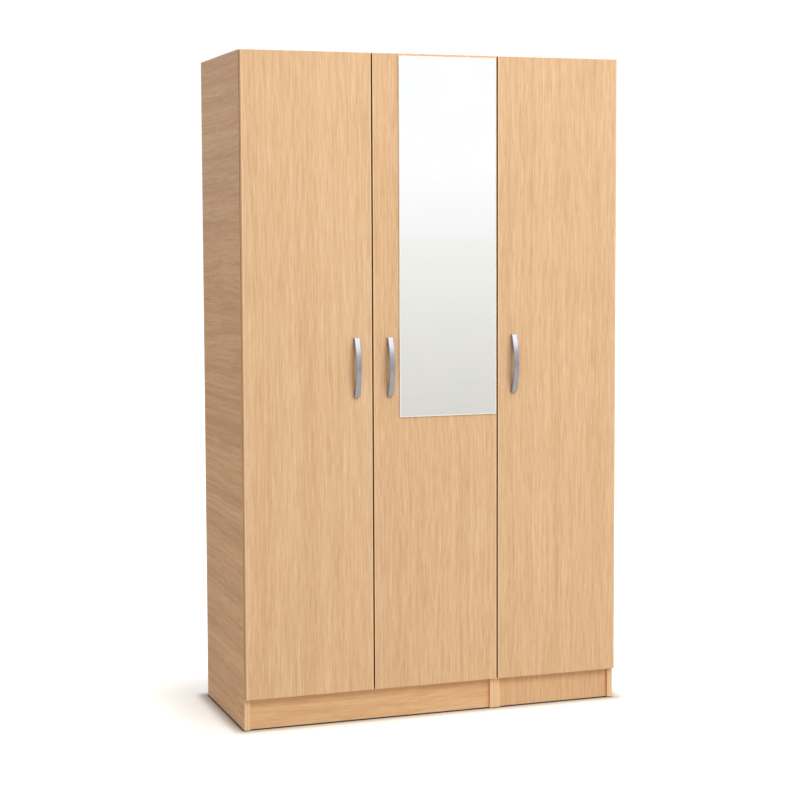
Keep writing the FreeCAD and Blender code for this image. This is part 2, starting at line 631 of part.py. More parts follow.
def door_bumper(x, z):
    """A stick-on bumper on the front edge of a top or bottom board."""
    radius = size("Dims.bumper_diameter") / 2
    thickness = size("Dims.bumper_thickness")
    disc = rod(radius, thickness, Vec(x, size(FRONT) - thickness, z), INWARD)
    rim = [edge for edge in disc.Edges if abs(edge.CenterOfMass.y - size(FRONT) + thickness) < 0.01]
    return disc.makeFillet(0.8, rim)


bumpers = []
for door in DOORS:
    edge_x, inward = free_edge(door)
    for z in (size(BOTTOM_LOW) + BOARD / 2, size(TOP_LOW) + BOARD / 2):
        bumpers.append(door_bumper(edge_x + inward * size("Dims.bumper_inset"), z))
group("door_bumpers", bumpers)


# ---------------------------------------------------------------- plinth blocks and wall brackets

def plinth_block(x):
    """A moulded angle behind a plinth, screwed to the plinth and to the bottom board."""
    leg, wall, half, rib, screw_share = 24, 4, 14, 2, 0.6
    y = size(PLINTH_FACE) + BOARD
    z = size(BOTTOM_LOW)
    upright_leg = block((x - half, x + half), (y, y + wall), (z - leg, z))
    flat_leg = block((x - half, x + half), (y, y + leg), (z - wall, z))
    ribs = [block((x_low, x_low + rib), (y, y + leg), (z - leg, z))
            for x_low in (x - half, x + half - rib)]
    slope = Part.Face(Part.makePolygon([Vec(0, y + leg, z - leg), Vec(0, y + leg, z - wall),
                                        Vec(0, y + wall, z - leg), Vec(0, y + leg, z - leg)]))
    corner = slope.extrude(ACROSS * (2 * half))
    corner.translate(ACROSS * (x - half))
    screws = [board_screw(Vec(x, y + wall, z - leg * screw_share), INWARD * -1),
              board_screw(Vec(x, y + leg * screw_share, z - wall), UP)]
    angle = upright_leg.fuse([flat_leg] + ribs).removeSplitter().cut([corner] + screws)
    return angle, screws


BRACKET_SCREW_SHARE = 0.7
BRACKET_HOLE_SHARE = 0.6


def wall_bracket(x):
    """An angle under the top board against the back, with a hole for the screw into the wall."""
    half = size("Dims.bracket_width") / 2
    leg = size("Dims.bracket_leg")
    thick = size("Dims.bracket_thickness")
    y = size(BOARD_BACK)
    z = size(TOP_LOW)
    flat_leg = block((x - half, x + half), (y - leg, y), (z - thick, z))
    upright_leg = block((x - half, x + half), (y - thick, y), (z - leg, z))
    screw = board_screw(Vec(x, y - leg * BRACKET_SCREW_SHARE, z - thick), UP)
    return flat_leg.fuse(upright_leg).removeSplitter().cut([wall_hole(x), screw]), screw


def wall_hole(x):
    """The hole for a wall screw through a bracket and the hardboard behind it."""
    overrun = 5
    z = size(TOP_LOW) - size("Dims.bracket_leg") * BRACKET_HOLE_SHARE
    start = Vec(x, size(BOARD_BACK) - overrun, z)
    length = size("Dims.back_thickness") + 2 * overrun
    return rod(size("Dims.wall_hole_diameter") / 2, length, start, INWARD)


WIDE_SPAN = size(JOINT) - size(LEFT)
NARROW_MIDDLE = (size(JOINT) + size(RIGHT)) / 2
BRACKET_INSET = 150
plinth_xs = [size(LEFT) + WIDE_SPAN / 4, size(JOINT) - WIDE_SPAN / 4, NARROW_MIDDLE]
bracket_xs = [size(LEFT) + BRACKET_INSET, size(JOINT) - BRACKET_INSET, NARROW_MIDDLE]

blocks, brackets = [], []
for x in plinth_xs:
    angle, screws = plinth_block(x)
    blocks.append(angle)
    board_screws += screws
for x in bracket_xs:
    angle, screw = wall_bracket(x)
    brackets.append(angle)
    board_screws.append(screw)
group("plinth_blocks", blocks)
group("wall_brackets", brackets)
group("board_screws", board_screws + at_every_door(plate_screws()))


# ---------------------------------------------------------------- back nails

def back_nail(x, z):
    """A panel nail driven flush through the hardboard into the edge of a board."""
    head_height, head_radius = 0.7, 2
    back = size(BACK)
    radius = size("Dims.nail_diameter") / 2
    length = size("Dims.nail_length")
    shank = rod(radius, length - head_height, Vec(x, back - length, z), INWARD)
    head = Part.makeCone(radius, head_radius, head_height, Vec(x, back - head_height, z), INWARD)
    return shank.fuse(head).removeSplitter()


NAIL_END = 50


def nail_sites(outer_left, outer_right):
    """Nails up both uprights and along the top and bottom boards of one cabinet."""
    spacing = size("Dims.nail_spacing")
    rows = spaced(size(BOTTOM_LOW) + NAIL_END, size(TOP_LOW) - NAIL_END, spacing)
    for x in (outer_left + BOARD / 2, outer_right - BOARD / 2):
        for z in rows:
            yield x, z
    columns = spaced(outer_left + NAIL_END, outer_right - NAIL_END, spacing / 2)
    for z in (size(BOTTOM_LOW) + BOARD / 2, size(TOP_LOW) + BOARD / 2):
        for x in columns:
            yield x, z


nails = [back_nail(x, z) for outer in ((size(LEFT), size(JOINT)), (size(JOINT), size(RIGHT)))
         for x, z in nail_sites(*outer)]
group("back_nails", nails)


# ---------------------------------------------------------------- carcass boards

LET_IN = [parts[name] for name in ("cam_bolts", "wood_dowels", "joining_sleeves", "joining_bolts",
                                   "shelf_pins", "floor_glides", "board_screws", "back_nails")]
LET_IN.append(cam_seat_group)
PANEL_HEIGHT = "(Dims.full_height - Dims.glide_thickness)"
for name, x in zip(("left_side_panel", "wide_right_panel", "narrow_left_panel", "right_side_panel"),
                   UPRIGHTS):
    blank = box(f"{name}_blank", "Dims.board", BOARD_DEPTH, PANEL_HEIGHT, x, FRONT, PANEL_LOW)
    bored(name, blank, LET_IN)

for name, (left_face, right_face), underside, front, depth in FIXED_BOARDS:
    width = f"({right_face} - {left_face})"
    blank = box(f"{name}_blank", width, depth, "Dims.board", left_face, front, underside)
    bored(name, blank, LET_IN)

for name, (left_face, right_face) in (("wide_plinth", WIDE_INNER), ("narrow_plinth", NARROW_INNER)):
    width = f"({right_face} - {left_face})"
    blank = box(f"{name}_blank", width, "Dims.board", "Dims.plinth_height", left_face, PLINTH_FACE,
                PANEL_LOW)
    bored(name, blank, LET_IN)

for name, underside in (("narrow_lower_shelf", LOWER_SHELF), ("narrow_upper_shelf", UPPER_SHELF)):
    left_face, right_face = NARROW_INNER
    width = f"({right_face} - {left_face} - 2 * Dims.shelf_side_gap)"
    shelf = box(name, width, SHELF_DEPTH, "Dims.board", f"({left_face} + Dims.shelf_side_gap)",
                SHELF_FRONT, underside)
    keep(name, shelf)


# ---------------------------------------------------------------- hardboard backs

STRIP_WEB = 1.2
STRIP_HALF = 12.0
STRIP_FLANGE = 1.0
BACK_HEIGHT = f"(Dims.full_height - Dims.back_inset - {BOTTOM_LOW})"
wall_holes = doc.addObject("Part::Feature", "wall_holes")
wall_holes.Shape = Part.Compound([wall_hole(x) for x in bracket_xs])
BACKS = [
    ("wide_back_left", f"({LEFT} + Dims.back_inset)", f"({MIDDLE} - {STRIP_WEB / 2})"),
    ("wide_back_right", f"({MIDDLE} + {STRIP_WEB / 2})", f"({JOINT} - Dims.back_inset)"),
    ("narrow_back", f"({JOINT} + Dims.back_inset)", f"({RIGHT} - Dims.back_inset)"),
]
for name, x_low, x_high in BACKS:
    blank = box(f"{name}_blank", f"({x_high} - {x_low})", "Dims.back_thickness", BACK_HEIGHT, x_low,
                BOARD_BACK, BOTTOM_LOW)
    bored(name, blank, [parts["back_nails"], wall_holes])

# The strip that joins the two halves of the wide back: a web between them and a flange inside.
STRIP_HEIGHT = f"({TOP_LOW} - {BOTTOM_HIGH})"
strip_web = box("strip_web", str(STRIP_WEB), "Dims.back_thickness", STRIP_HEIGHT,
                f"({MIDDLE} - {STRIP_WEB / 2})", BOARD_BACK, BOTTOM_HIGH)
strip_flange = box("strip_flange", str(2 * STRIP_HALF), str(STRIP_FLANGE), STRIP_HEIGHT,
                   f"({MIDDLE} - {STRIP_HALF})", f"({BOARD_BACK} - {STRIP_FLANGE})", BOTTOM_HIGH)
strip = doc.addObject("Part::Fuse", "back_joint_strip")
strip.Base = strip_web
strip.Tool = strip_flange
strip.Refine = True
keep("back_joint_strip", strip)


# ---------------------------------------------------------------- doors

def origin_plane(body, role):
    """The body's own origin plane with a given role."""
    return next(feature for feature in body.Origin.OriginFeatures if feature.Role == role)


def bound_rectangle(sketch, width, height):
    """A rectangle from the sketch's origin, its sides bound to the sheet."""
    corners = [Vec(0, 0, 0), Vec(100, 0, 0), Vec(100, 100, 0), Vec(0, 100, 0)]
    for start, finish in zip(corners, corners[1:] + corners[:1]):
        sketch.addGeometry(Part.LineSegment(start, finish))
    for line in range(4):
        sketch.addConstraint(Sketcher.Constraint("Coincident", line, 2, (line + 1) % 4, 1))
    for line, way in enumerate(("Horizontal", "Vertical", "Horizontal", "Vertical")):
        sketch.addConstraint(Sketcher.Constraint(way, line))
    sketch.addConstraint(Sketcher.Constraint("Coincident", 0, 1, -1, 1))
    for line, name, way, expression in ((0, "across", "DistanceX", width), (1, "along", "DistanceY", height)):
        index = sketch.addConstraint(Sketcher.Constraint(way, line, 1, line, 2, 100))
        sketch.renameConstraint(index, name)
        sketch.setExpression(f"Constraints.{name}", expression)


def bound_circle(sketch, radius, x, y):
    """A circle at a distance from the sketch's origin, all bound to the sheet."""
    circle = sketch.addGeometry(Part.Circle(Vec(50, 50, 0), UP, 5))
    rules = (("radius", Sketcher.Constraint("Radius", circle, 5), radius),
             ("x", Sketcher.Constraint("DistanceX", -1, 1, circle, 3, 50), x),
             ("y", Sketcher.Constraint("DistanceY", -1, 1, circle, 3, 50), y))
    for label, rule, expression in rules:
        index = sketch.addConstraint(rule)
        sketch.renameConstraint(index, f"{label}{circle}")
        sketch.setExpression(f"Constraints.{label}{circle}", expression)


def back_sketch(body, name):
    """A sketch on the plane of a door's back, where X runs right and Y runs up."""
    sketch = body.newObject("Sketcher::SketchObject", name)
    sketch.AttachmentSupport = [(origin_plane(body, "XZ_Plane"), "")]
    sketch.MapMode = "FlatFace"
    return sketch


def pocket(body, sketch, name, depth):
    """A pocket from the door's back towards its face."""
    feature = body.newObject("PartDesign::Pocket", name)
    feature.Profile = sketch
    feature.Reversed = True
    feature.setExpression("Length", depth)
    return feature


def door_panel(door):
    """A door: a slab with a rounded face, four cup seats up its hinge edge and two handle holes."""
    name, upright, facing = door
    width = NARROW_DOOR_WIDTH if name == "right" else DOOR_WIDTH
    cup_inset = f"({CUP_CENTRE} - Dims.door_reveal)"
    if facing > 0:
        x_low, cup_x, handle_x = f"({upright} + Dims.door_reveal)", cup_inset, f"({width} - Dims.handle_inset)"
    else:
        x_low = f"({upright} - Dims.door_reveal - {width})"
        cup_x, handle_x = f"({width} - {cup_inset})", "Dims.handle_inset"
    body = doc.addObject("PartDesign::Body", f"{name}_door_blank")
    body.setExpression("Placement.Base.x", x_low)
    body.setExpression("Placement.Base.y", DOOR_BACK)
    body.setExpression("Placement.Base.z", "Dims.door_bottom")
    outline = back_sketch(body, f"{name}_outline")
    bound_rectangle(outline, width, DOOR_HEIGHT)
    slab = body.newObject("PartDesign::Pad", f"{name}_slab")
    slab.Profile = outline
    slab.setExpression("Length", "Dims.door_thickness")
    doc.recompute()
    face_edges = [f"Edge{index}" for index, edge in enumerate(slab.Shape.Edges, start=1)
                  if edge.BoundBox.YMax < -size("Dims.door_thickness") + 0.01]
    rounding = body.newObject("PartDesign::Fillet", f"{name}_rounding")
    rounding.Base = (slab, face_edges)
    rounding.setExpression("Radius", "Dims.door_edge_round")
    seats = back_sketch(body, f"{name}_cup_seats")
    for step in range(HINGES_PER_DOOR):
        height = f"(Dims.hinge_end_distance + {step} * {HINGE_STEP})"
        bound_circle(seats, "Dims.cup_diameter / 2", cup_x, height)
    pocket(body, seats, f"{name}_cup_pocket", "Dims.cup_depth")
    holes = back_sketch(body, f"{name}_handle_holes")
    for side in ("-", "+"):
        height = f"(Dims.handle_centre_height - Dims.door_bottom {side} Dims.handle_centres / 2)"
        bound_circle(holes, "Dims.handle_screw_diameter / 2", handle_x, height)
    drilled = pocket(body, holes, f"{name}_handle_pocket", "Dims.door_thickness")
    body.Tip = drilled
    return body


for door in DOORS:
    name = door[0]
    bored(f"{name}_door", door_panel(door), [parts[f"{name}_cup_screws"]])


# ---------------------------------------------------------------- mirror on the middle door

MIRROR_RIGHT = f"({JOINT} - Dims.door_reveal - Dims.mirror_hinge_margin)"
MIRROR_WIDTH = f"({DOOR_WIDTH} - Dims.mirror_hinge_margin - Dims.mirror_free_margin)"
MIRROR_LEFT = f"({MIRROR_RIGHT} - {MIRROR_WIDTH})"
MIRROR_LOW = f"({DOOR_TOP} - Dims.mirror_top_margin - Dims.mirror_height)"
glass = box("mirror_glass", MIRROR_WIDTH, "Dims.mirror_thickness", "Dims.mirror_height",
            MIRROR_LEFT, f"({DOOR_FACE} - Dims.tape_thickness - Dims.mirror_thickness)", MIRROR_LOW)
doc.recompute()
mirror = doc.addObject("Part::Chamfer", "mirror")
mirror.Base = glass
mirror.Edges = [(index, size("Dims.mirror_edge_round"), size("Dims.mirror_edge_round"))
                for index, edge in enumerate(glass.Shape.Edges, start=1)
                if edge.BoundBox.YMax < glass.Shape.BoundBox.YMin + 0.01]
keep("mirror", mirror)

TAPES = 4
TAPE_WIDTH = size("Dims.tape_width")
TAPE_INSET = size("Dims.tape_inset")
tape_y = (size(DOOR_FACE) - size("Dims.tape_thickness"), size(DOOR_FACE))
tape_z = (size(MIRROR_LOW) + TAPE_INSET, size(MIRROR_LOW) + size("Dims.mirror_height") - TAPE_INSET)
tape_step = (size(MIRROR_WIDTH) - 2 * TAPE_INSET - TAPE_WIDTH) / (TAPES - 1)
tape_xs = [size(MIRROR_LEFT) + TAPE_INSET + tape_step * strip_number for strip_number in range(TAPES)]
group("mirror_tape", [block((x, x + TAPE_WIDTH), tape_y, tape_z) for x in tape_xs])


# ---------------------------------------------------------------- bow handles

HANDLE_OVERRUN = 1


def bow_front(name, x, z):
    """A cylinder across the handle whose side is the front of the bow, from tip to tip."""
    half_chord = "(Dims.handle_length / 2)"
    rise = "(Dims.handle_projection - Dims.handle_tip)"
    radius = f"({half_chord} ^ 2 + {rise} ^ 2) / (2 * {rise})"
    cylinder = doc.addObject("Part::Cylinder", name)
    cylinder.setExpression("Radius", radius)
    cylinder.setExpression("Height", f"Dims.handle_width + 2 * {HANDLE_OVERRUN}")
    cylinder.Placement.Rotation = FreeCAD.Rotation(UP, ACROSS)
    cylinder.setExpression("Placement.Base.x", f"{x} - {HANDLE_OVERRUN}")
    cylinder.setExpression("Placement.Base.y", f"{DOOR_FACE} - Dims.handle_projection + {radius}")
    cylinder.setExpression("Placement.Base.z", z)
    return cylinder


def bow_hollow(name, x, z):
    """The finger space behind the bow: half an oval that stands on the door between the feet."""
    rim = doc.addObject("Part::Ellipse", f"{name}_rim")
    rim.setExpression("MajorRadius", "Dims.handle_length / 2 - Dims.handle_foot")
    rim.setExpression("MinorRadius", "Dims.handle_projection - Dims.handle_thickness")
    rim.Placement.Rotation = FreeCAD.Rotation(INWARD, -90)
    rim.setExpression("Placement.Base.x", f"{x} - {HANDLE_OVERRUN}")
    rim.setExpression("Placement.Base.y", DOOR_FACE)
    rim.setExpression("Placement.Base.z", z)
    hollow = doc.addObject("Part::Extrusion", name)
    hollow.Base = rim
    hollow.DirMode = "Custom"
    hollow.Dir = ACROSS
    hollow.Solid = True
    hollow.setExpression("LengthFwd", f"Dims.handle_width + 2 * {HANDLE_OVERRUN}")
    return hollow


def bow_handle(door):
    """A bow handle: a block trimmed by the front of the bow and hollowed by the finger space."""
    name = door[0]
    edge_x, inward = free_edge(door)
    x = f"({edge_x + inward * size('Dims.handle_inset')} - Dims.handle_width / 2)"
    y = f"({DOOR_FACE} - Dims.handle_projection)"
    z = "Dims.handle_centre_height"
    stock = box(f"{name}_handle_stock", "Dims.handle_width", "Dims.handle_projection",
                "Dims.handle_length", x, y, f"({z} - Dims.handle_length / 2)")
    arch = doc.addObject("Part::Common", f"{name}_bow_arch")
    arch.Base = stock
    arch.Tool = bow_front(f"{name}_bow_front", x, z)
    bow = doc.addObject("Part::Cut", f"{name}_bow")
    bow.Base = arch
    bow.Tool = bow_hollow(f"{name}_bow_hollow", x, z)
    doc.recompute()
    rounded = doc.addObject("Part::Fillet", f"{name}_bow_rounded")
    rounded.Base = bow
    radius = size("Dims.handle_round")
    rounded.Edges = [(index, radius, radius) for index, edge in enumerate(bow.Shape.Edges, start=1)
                     if edge.Length > size("Dims.handle_length") / 2]
    return bored(f"{name}_handle", rounded, [parts[f"{name}_handle_screws"]])


def handle_screw(x, z):
    """A machine screw through the door into the foot of a handle, its head behind the door."""
    head_radius, head_height, rounding = 4, 2.4, 1
    seat = Vec(x, size(DOOR_BACK), z)
    outward = INWARD * -1
    back = seat - outward * head_height
    reach = DOOR_T + size("Dims.handle_screw_bite")
    shank = rod(size("Dims.handle_screw_diameter") / 2, reach, seat, outward)
    head = rod(head_radius, head_height, back, outward)
    head = head.makeFillet(rounding, [edge for edge in head.Edges if edge.CenterOfMass.y > back.y - 0.01])
    recess = cross_recess(back, outward, 4.4, 0.9, 1.4)
    return shank.fuse(head).cut(recess).removeSplitter()


for door in DOORS:
    edge_x, inward = free_edge(door)
    screw_x = edge_x + inward * size("Dims.handle_inset")
    screw_zs = [size(f"Dims.handle_centre_height {side} Dims.handle_centres / 2") for side in "-+"]
    group(f"{door[0]}_handle_screws", [handle_screw(screw_x, z) for z in screw_zs])
    bow_handle(door)


# ---------------------------------------------------------------- checks and files

doc.recompute()
for item in doc.Objects:
    if "Invalid" in item.State or "Error" in item.State:
        raise RuntimeError(f"{item.Label} did not build: {item.State}")
for name, piece in parts.items():
    if piece.Shape.isNull() or not piece.Shape.isValid() or not piece.Shape.Solids:
        raise RuntimeError(f"{name} has no valid solid")

os.makedirs("parts", exist_ok=True)
for name, piece in parts.items():
    piece.Shape.exportStep(f"parts/{name}.step")
    box_of = piece.Shape.BoundBox
    print(f"{name}: {len(piece.Shape.Solids)} solids, {box_of.XLength:.1f} x {box_of.YLength:.1f} x "
          f"{box_of.ZLength:.1f} mm, {piece.Shape.Volume / 1000:.1f} cm3")
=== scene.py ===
"""The looks of a three-door oak-effect wardrobe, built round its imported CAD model."""

import math
from functools import reduce

import bmesh
import bpy
from mathutils import Euler, Matrix, Vector


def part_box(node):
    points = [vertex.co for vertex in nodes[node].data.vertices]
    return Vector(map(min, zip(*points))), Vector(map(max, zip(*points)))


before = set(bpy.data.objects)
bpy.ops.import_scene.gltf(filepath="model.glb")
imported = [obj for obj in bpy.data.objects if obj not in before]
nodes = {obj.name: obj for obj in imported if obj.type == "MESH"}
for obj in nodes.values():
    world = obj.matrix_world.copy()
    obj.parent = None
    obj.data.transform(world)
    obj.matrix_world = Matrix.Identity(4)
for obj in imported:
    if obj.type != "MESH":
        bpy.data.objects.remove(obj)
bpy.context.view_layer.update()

CROSSWISE, FRONT_TO_BACK, VERTICAL = 0, 1, 2
DOORS = ("left", "middle", "right")
WHITE = (1.0, 1.0, 1.0, 1.0)

# ---------------------------------------------------------------- camera

# The viewpoint, in metres and degrees: left of the middle and three quarters of the way up.
CAMERA_PLACE = Vector((-1.7555, -4.9551, 1.3384))
CAMERA_YAW = 19.187
CAMERA_PITCH = 4.298
CAMERA_ROLL = -0.223
# The focal length and the shift are shares of the frame's width.
FOCAL_IN_FRAMES = 2.341875
CAMERA_SHIFT = -0.04
SENSOR = 36.0
FARTHEST_SEEN = 200.0


def make_camera():
    """A long lens that looks slightly down, with its frame shifted a little."""
    data = bpy.data.cameras.new("camera")
    data.sensor_width = SENSOR
    data.lens = FOCAL_IN_FRAMES * SENSOR
    data.shift_y = CAMERA_SHIFT
    data.clip_end = FARTHEST_SEEN
    camera = bpy.data.objects.new("camera", data)
    turn = Euler((math.radians(90 - CAMERA_PITCH), 0, -math.radians(CAMERA_YAW)), "XYZ").to_matrix()
    roll = Matrix.Rotation(math.radians(CAMERA_ROLL), 3, "Z")
    camera.matrix_world = Matrix.Translation(CAMERA_PLACE) @ (turn @ roll).to_4x4()
    bpy.context.scene.collection.objects.link(camera)
    bpy.context.scene.camera = camera


make_camera()


# ---------------------------------------------------------------- shader helpers

# How squarely a face has to lie to an axis to count as facing along it: from none to fully.
FACING_FROM, FACING_FULLY = 0.7, 0.9


def linear(red, green, blue):
    """A linear colour from display values of 0 to 255."""
    def channel(value):
        value /= 255
        return value / 12.92 if value <= 0.04045 else ((value + 0.055) / 1.055) ** 2.4
    return (channel(red), channel(green), channel(blue), 1.0)


def darkened(colour, share):
    """A share of a colour's light."""
    return tuple(share * part for part in colour[:3]) + (1.0,)


class Nodes:
    """A node tree and short calls that add and join its nodes."""

    def __init__(self, tree):
        self.tree = tree

    def add(self, kind, **settings):
        node = self.tree.nodes.new(kind)
        for key, value in settings.items():
            setattr(node, key, value)
        return node

    def join(self, output, socket):
        self.tree.links.new(output, socket)

    def fill(self, socket, value):
        """Joins a node's output to a socket, or sets the socket to a plain value."""
        if hasattr(value, "is_output"):
            self.join(value, socket)
        else:
            socket.default_value = value

    def split(self, vector):
        """A vector's three parts."""
        parts = self.add("ShaderNodeSeparateXYZ")
        self.join(vector, parts.inputs[0])
        return parts.outputs

    def math(self, operation, first, second=0.0):
        node = self.add("ShaderNodeMath", operation=operation)
        self.fill(node.inputs[0], first)
        self.fill(node.inputs[1], second)
        return node.outputs[0]

    def fold(self, operation, values):
        """One result from several values, taken two at a time."""
        return reduce(lambda total, value: self.math(operation, total, value), values)

    def remap(self, value, low, high, to_low=0.0, to_high=1.0, smooth=False):
        """A value's range from low to high moved to another range, and held inside it."""
        kind = "SMOOTHSTEP" if smooth else "LINEAR"
        node = self.add("ShaderNodeMapRange", interpolation_type=kind)
        self.fill(node.inputs["Value"], value)
        for name, number in (("From Min", low), ("From Max", high), ("To Min", to_low),
                             ("To Max", to_high)):
            node.inputs[name].default_value = number
        return node.outputs["Result"]


class Shader(Nodes):
    """A material's nodes."""

    def __init__(self, name, colour, roughness=0.5, metallic=0.0, specular=0.5):
        self.material = bpy.data.materials.new(name)
        self.material.use_nodes = True
        self.material.diffuse_color = colour
        super().__init__(self.material.node_tree)
        self.surface = self.tree.nodes["Principled BSDF"]
        self.surface.inputs["Base Color"].default_value = colour
        self.surface.inputs["Roughness"].default_value = roughness
        self.surface.inputs["Metallic"].default_value = metallic
        self.surface.inputs["Specular IOR Level"].default_value = specular

    def coordinate(self, kind="Object"):
        return self.add("ShaderNodeTexCoord").outputs[kind]

    def stretched(self, vector, scale, offset):
        """Coordinates scaled and shifted along each axis."""
        mapping = self.add("ShaderNodeMapping")
        mapping.inputs["Scale"].default_value = scale
        mapping.inputs["Location"].default_value = offset
        self.join(vector, mapping.inputs["Vector"])
        return mapping.outputs["Vector"]

    def place(self, scale=(1, 1, 1), offset=(0, 0, 0)):
        """Where a point is, in metres, scaled and shifted."""
        return self.stretched(self.coordinate(), scale, offset)

    def noise(self, vector, detail=2.0, roughness=0.5, distortion=0.0):
        node = self.add("ShaderNodeTexNoise")
        node.inputs["Scale"].default_value = 1.0
        node.inputs["Detail"].default_value = detail
        node.inputs["Roughness"].default_value = roughness
        node.inputs["Distortion"].default_value = distortion
        self.join(vector, node.inputs["Vector"])
        return node.outputs["Fac"]

    def mix(self, factor, first, second, blend="MIX"):
        node = self.add("ShaderNodeMix", data_type="RGBA", blend_type=blend)
        self.fill(node.inputs["Factor"], factor)
        self.fill(node.inputs[6], first)
        self.fill(node.inputs[7], second)
        return node.outputs[2]

    def toned(self, colour, tone):
        """A colour multiplied by a tone, or by another colour."""
        return self.mix(1.0, colour, tone, "MULTIPLY")

    def facing(self, axis, sign=0):
        """1 on faces square to an axis: both ways, or only those that face the given way."""
        lean = self.split(self.coordinate("Normal"))[axis]
        lean = self.math("MULTIPLY", lean, sign) if sign else self.math("ABSOLUTE", lean)
        return self.remap(lean, FACING_FROM, FACING_FULLY)

    def near_sides(self, piece, axes, width):
        """1 close to a piece's sides across the given axes, and 0 away from them."""
        low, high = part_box(piece)
        here = self.split(self.place())
        masks = []
        for axis in axes:
            masks += [self.remap(here[axis], low[axis] + width / 2, low[axis] + width, 1.0, 0.0),
                      self.remap(here[axis], high[axis] - width, high[axis] - width / 2)]
        return self.fold("MAXIMUM", masks)

    def bump(self, height, strength, distance):
        node = self.add("ShaderNodeBump")
        node.inputs["Strength"].default_value = strength
        node.inputs["Distance"].default_value = distance
        self.join(height, node.inputs["Height"])
        self.join(node.outputs["Normal"], self.surface.inputs["Normal"])

    def colour(self, output):
        self.join(output, self.surface.inputs["Base Color"])

    def roughness(self, output):
        self.join(output, self.surface.inputs["Roughness"])


def dress(material, *names):
    """Gives CAD nodes a material."""
    for name in names:
        slots = nodes[name].data.materials
        slots.clear()
        slots.append(material)


def on_doors(*pieces):
    """The names of every door's own pieces."""
    return [f"{door}_{piece}" for door in DOORS for piece in pieces]


# ---------------------------------------------------------------- oak foil

OAK_PALE = linear(243, 209, 171)
OAK_MID = linear(228, 188, 146)
OAK_DEEP = linear(208, 165, 121)
OAK_PORE = linear(178, 131, 90)
# The lipping's paler colour, also used as the painted highlight on the doors' upright edges.
OAK_LIPPING_AND_HIGHLIGHT = linear(250, 214, 172)
OAK_ROSE = (1.0, 0.985, 0.98, 1.0)
OAK_STRAW = (0.995, 1.0, 0.985, 1.0)

# The layers of the grain: how fine each is across the grain and along it, and its own shift.
BANDS = (22, 0.5, 3.1)
STRIPS = (80, 1.2, 2.2)
STREAKS = (190, 7.0, 7.7)
FIBRES = (400, 20.0, 1.3)
PORES = (500, 30.0, 9.2)
TINT = (9, 1.1, 5.5)
FRONT_FIBRES = (320, 320, 5)
# How quickly the slow drift of the lines changes, across the grain and along it.
DRIFT_ACROSS, DRIFT_ALONG = 1.8, 1.3
# Half the range of the layers' sum that runs from the deepest colour to the palest.
FIGURE_REACH = 0.34
DEEP_AT, PALE_AT = 0.05, 0.95
PORES_FROM, PORES_FULLY, PORE_STRENGTH = 0.70, 0.98, 0.24
# How wide and how strong the doors' paler upright edges are: partly lipping, partly painted
# highlight.
LIPPING_HIGHLIGHT_WIDTH, LIPPING_HIGHLIGHT_STRENGTH = 0.0035, 0.75
FOIL_SMOOTHEST, FOIL_ROUGHEST = 0.36, 0.50


